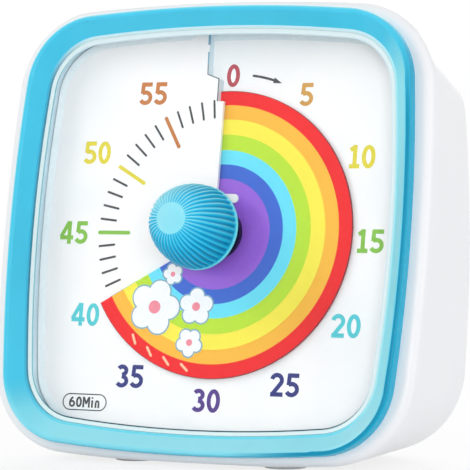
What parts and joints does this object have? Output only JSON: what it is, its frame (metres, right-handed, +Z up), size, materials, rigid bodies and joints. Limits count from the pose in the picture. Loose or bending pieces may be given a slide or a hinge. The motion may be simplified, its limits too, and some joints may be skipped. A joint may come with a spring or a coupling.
{
  "type": "visual countdown timer",
  "caption": "Free-standing visual countdown timer: rounded square case with a raised blue bezel, clear lens, ribbed knob and a rainbow disc that wipes through a slit in the dial.",
  "frame": {"origin": "on the table under the middle of the whole part", "axes": "+Z up; the face looks towards -Y and leans back 9.5 degrees; +X is to the right of someone facing the dial"},
  "size_m": [0.0906, 0.0468, 0.0884],
  "materials": {
    "white_case": "glossy moulded white ABS",
    "blue_gloss": "glossy moulded light blue ABS",
    "clear_lens": "clear polished acrylic",
    "foam": "closed-cell foam strip",
    "rubber_pad": "soft grey-white rubber",
    "dial_white": "printed white sheet",
    "disc_print": "printed plastic sheet",
    "white_nylon": "moulded white nylon",
    "steel": "plated steel",
    "brass_turned": "turned brass",
    "movement_black": "moulded black plastic",
    "gear_plastic": "moulded acetal",
    "magnet": "sintered ferrite",
    "copper_wire": "enamelled copper wire",
    "board_green": "solder-masked board",
    "chip_black": "moulded epoxy",
    "crystal_can": "drawn can",
    "cell_jacket": "printed film jacket",
    "switch_body": "stamped shell",
    "slider_black": "moulded black plastic"
  },
  "bodies": {
    "case": {"battery_cell": "cell_jacket", "battery_spring": "steel", "board_screws": "steel", "buzzer": "chip_black", "coil_bobbin": "gear_plastic", "coil_core": "steel", "coil_winding": "copper_wire", "cover_screws": "steel", "dial_frame": "white_nylon", "dial_plate": "dial_white", "driver_chip": "chip_black", "foot_pads": "rubber_pad", "frame_screws": "steel", "front_bezel": "blue_gloss", "housing": "white_case", "lens": "clear_lens", "lens_gasket": "foam", "motor_board": "board_green", "movement_case": "movement_black", "movement_cover": "movement_black", "movement_screws": "steel", "negative_contact": "steel", "positive_contact": "steel", "quartz_crystal": "crystal_can", "rear_cover": "white_case", "ring_time_switch": "switch_body", "sound_board": "board_green", "sound_chip": "chip_black", "stator": "steel", "volume_switch": "switch_body", "zero_contact": "brass_turned"},
    "knob_shaft": {"knob": "blue_gloss", "output_shaft": "brass_turned", "disc_hub": "white_nylon", "trip_cam": "gear_plastic", "clutch_washer": "steel"},
    "disc": {"rainbow_disc": "disc_print", "disc_collar": "white_nylon"},
    "output_wheel": {"output_wheel": "gear_plastic"},
    "third": {"third_arbor": "brass_turned", "third_wheel": "gear_plastic"},
    "second": {"second_arbor": "brass_turned", "second_wheel": "gear_plastic"},
    "first": {"first_arbor": "brass_turned", "first_wheel": "gear_plastic"},
    "rotor": {"rotor_arbor": "brass_turned", "rotor_magnet": "magnet"},
    "door": {"battery_door": "white_case"},
    "volume_slider": {"volume_slider": "slider_black"},
    "ring_time_slider": {"ring_time_slider": "slider_black"}
  },
  "joints": [
    {"name": "knob_turn", "type": "hinge", "parent": "case", "child": "knob_shaft", "pos_m": [0, -0.00314, 0.0437], "axis": [0, -0.9863, 0.165], "range_deg": [-120, 240]},
    {"name": "disc_shift", "type": "slide", "parent": "knob_shaft", "child": "disc", "axis": [0, -0.9863, 0.165], "range_m": [-0.00134, 0.00067]},
    {"name": "rotor_spin", "type": "hinge", "parent": "case", "child": "rotor", "pos_m": [0.01302, -0.00194, 0.05085], "axis": [0, -0.9863, 0.165], "continuous": true},
    {"name": "first_spin", "type": "hinge", "parent": "case", "child": "first", "pos_m": [0.00869, -0.00123, 0.05512], "axis": [0, -0.9863, 0.165], "continuous": true},
    {"name": "second_spin", "type": "hinge", "parent": "case", "child": "second", "pos_m": [0.00169, -0.00123, 0.05512], "axis": [0, -0.9863, 0.165], "continuous": true},
    {"name": "third_spin", "type": "hinge", "parent": "case", "child": "third", "pos_m": [-0.00602, -0.00182, 0.05158], "axis": [0, -0.9863, 0.165], "continuous": true},
    {"name": "output_spin", "type": "hinge", "parent": "case", "child": "output_wheel", "pos_m": [0, -0.00314, 0.0437], "axis": [0, -0.9863, 0.165], "continuous": true},
    {"name": "door_hinge", "type": "hinge", "parent": "case", "child": "door", "pos_m": [0, 0.02256, 0.011], "axis": [-1, 0, 0], "range_deg": [0, 90]},
    {"name": "volume_slide", "type": "slide", "parent": "case", "child": "volume_slider", "axis": [1, 0, 0], "range_m": [-0.0018, 0.0018]},
    {"name": "ring_time_slide", "type": "slide", "parent": "case", "child": "ring_time_slider", "axis": [1, 0, 0], "range_m": [-0.0018, 0.0018]}
  ],
  "couplings": [
    {"joint": "disc_shift", "follows": "knob_turn", "m_per_rad": -0.00031831},
    {"joint": "first_spin", "follows": "rotor_spin", "ratio": -0.225},
    {"joint": "second_spin", "follows": "rotor_spin", "ratio": 0.0375},
    {"joint": "third_spin", "follows": "rotor_spin", "ratio": -0.005},
    {"joint": "output_spin", "follows": "rotor_spin", "ratio": 0.00055556}
  ]
}
